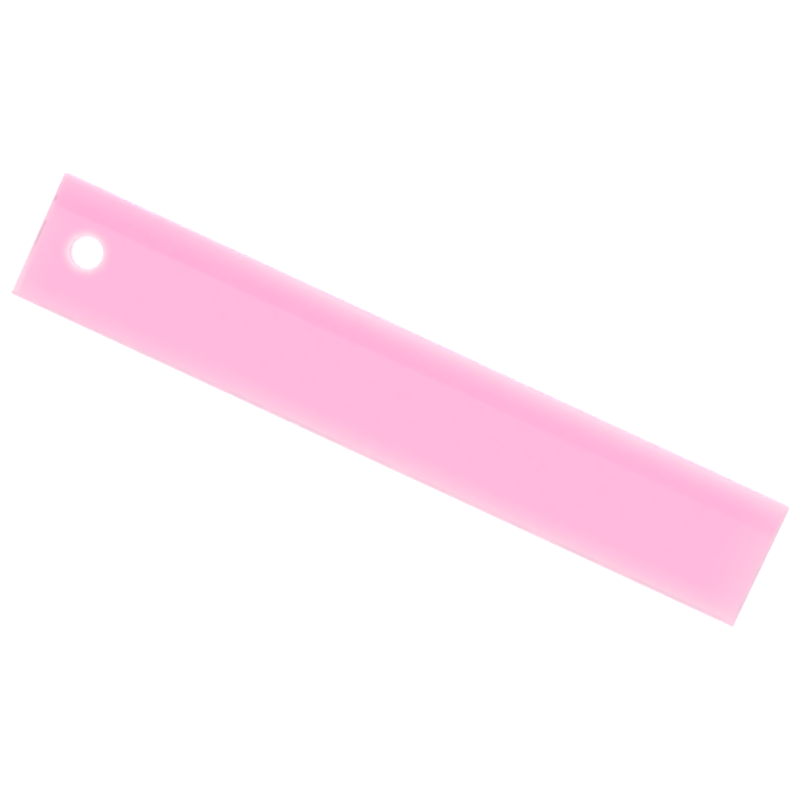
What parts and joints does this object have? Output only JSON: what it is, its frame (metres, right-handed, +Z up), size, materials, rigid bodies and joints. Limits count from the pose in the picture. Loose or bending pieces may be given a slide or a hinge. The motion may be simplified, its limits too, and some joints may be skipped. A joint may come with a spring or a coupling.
{
  "type": "quilting ruler",
  "caption": "Slim pink lipped ruler for trimming a seam allowance: a flat plastic blade with a cemented lip under one long edge and a hanging hole.",
  "frame": {"origin": "bottom centre of the ruler's box, in the plane of the lip's foot", "axes": "+X along the ruler, away from the end with the hanging hole; +Y across it, towards the cutting edge over the lip; +Z up, from the lip's foot to the blade's top face"},
  "size_m": [0.1524, 0.0254, 0.0048],
  "materials": {
    "blade": "gloss",
    "lip_strip": "gloss",
    "cement_film": "clear set cement"
  },
  "bodies": {
    "root": {"blade": "blade", "lip_strip": "lip_strip", "cement_film": "cement_film"}
  },
  "joints": []
}
